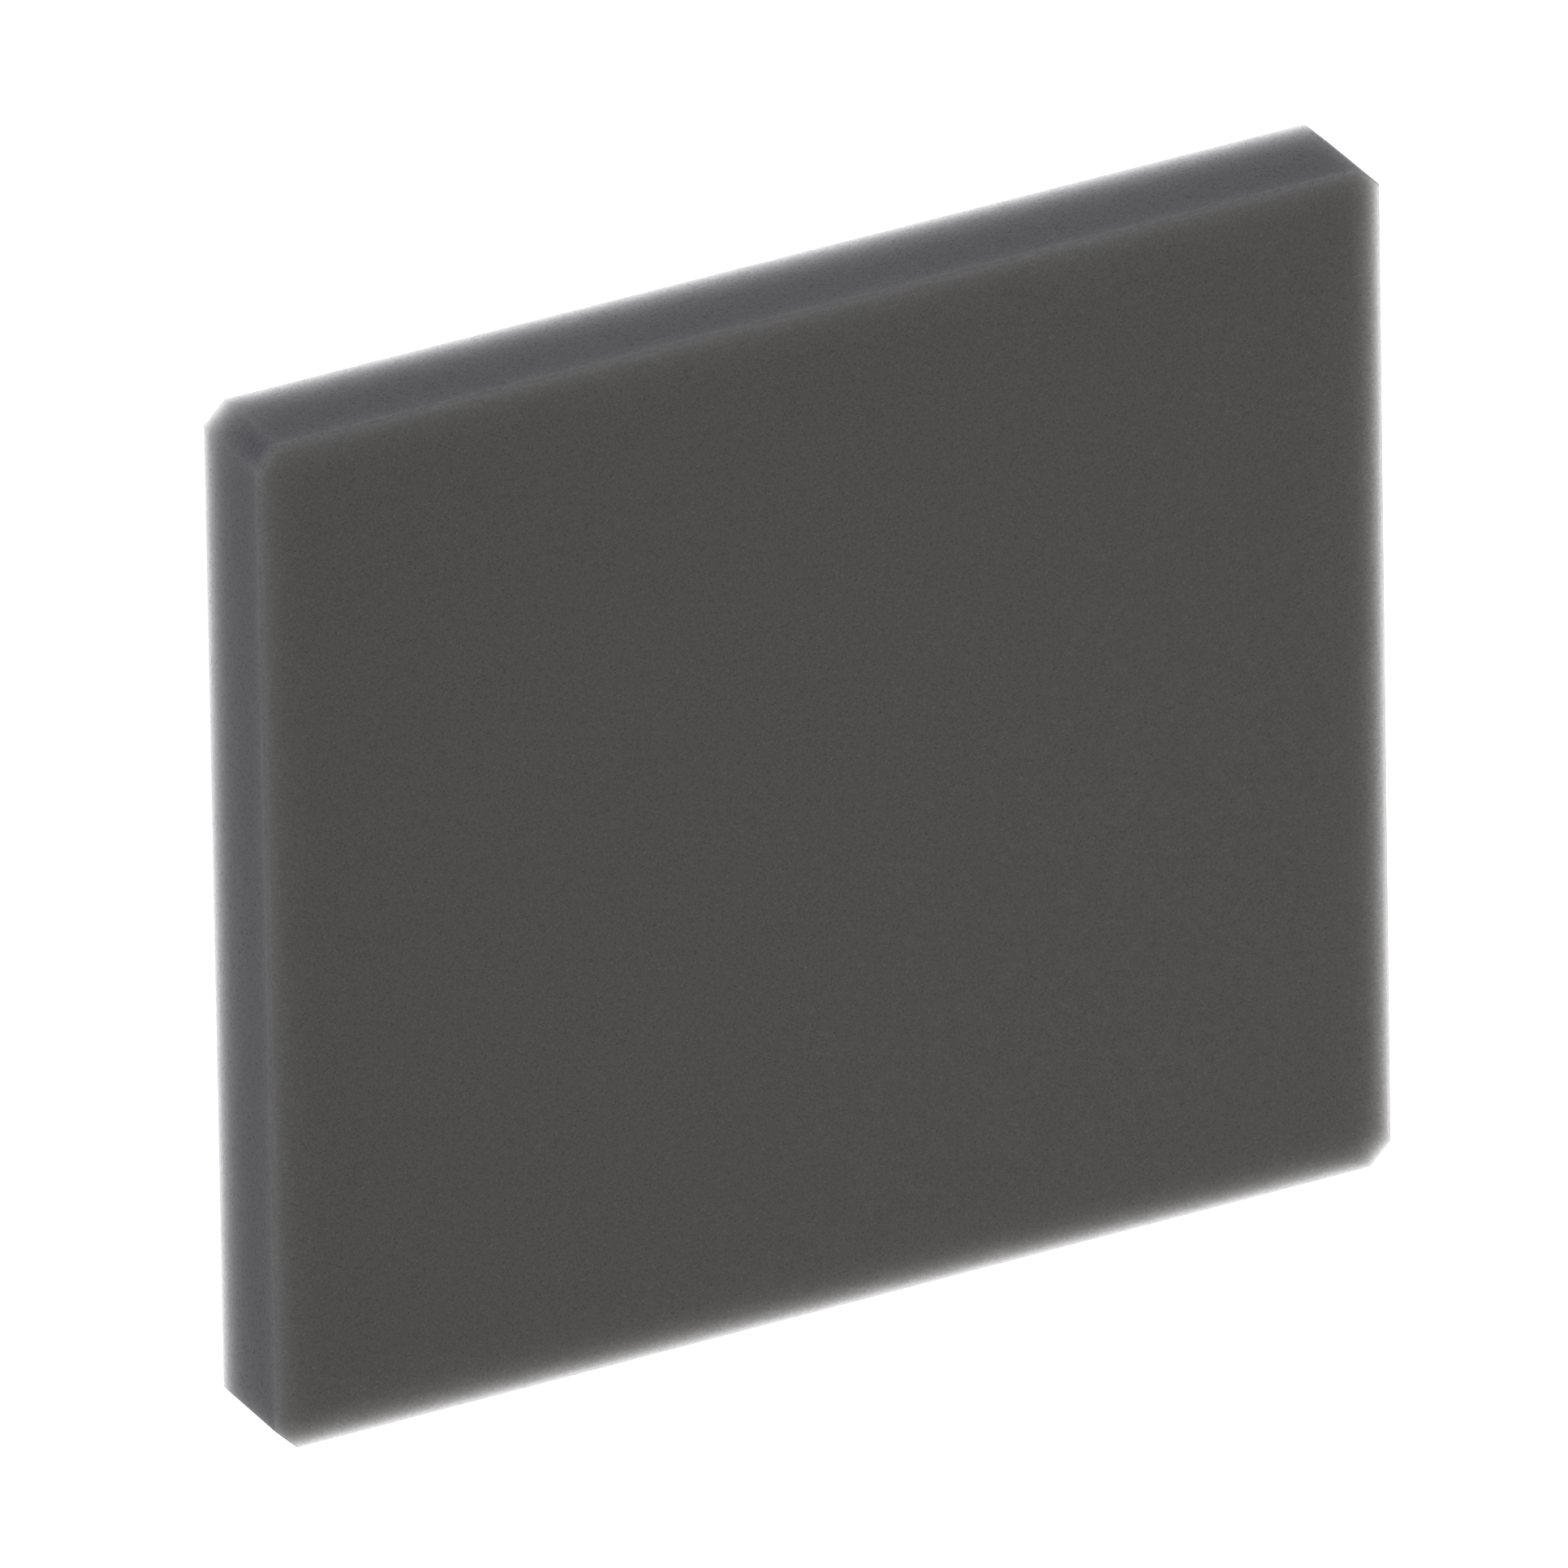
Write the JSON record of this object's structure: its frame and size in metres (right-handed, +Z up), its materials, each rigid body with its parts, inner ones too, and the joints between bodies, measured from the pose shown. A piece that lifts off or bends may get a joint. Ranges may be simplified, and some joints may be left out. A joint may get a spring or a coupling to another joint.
{
  "type": "granite slab",
  "caption": "Dark grey granite slab with cut corners: a heavy flat stone that leather is tooled, stamped and punched on.",
  "frame": {"origin": "middle of the resting face, on the surface that the slab lies on", "axes": "+X along the longer side, +Y along the shorter side, +Z up through the thickness, out of the working face"},
  "size_m": [0.343, 0.3048, 0.0318],
  "materials": {
    "granite": "fine-grained dark grey granite, satin polished on the two large faces, ground on the sides"
  },
  "bodies": {
    "root": {"granite_slab": "granite"}
  },
  "joints": []
}
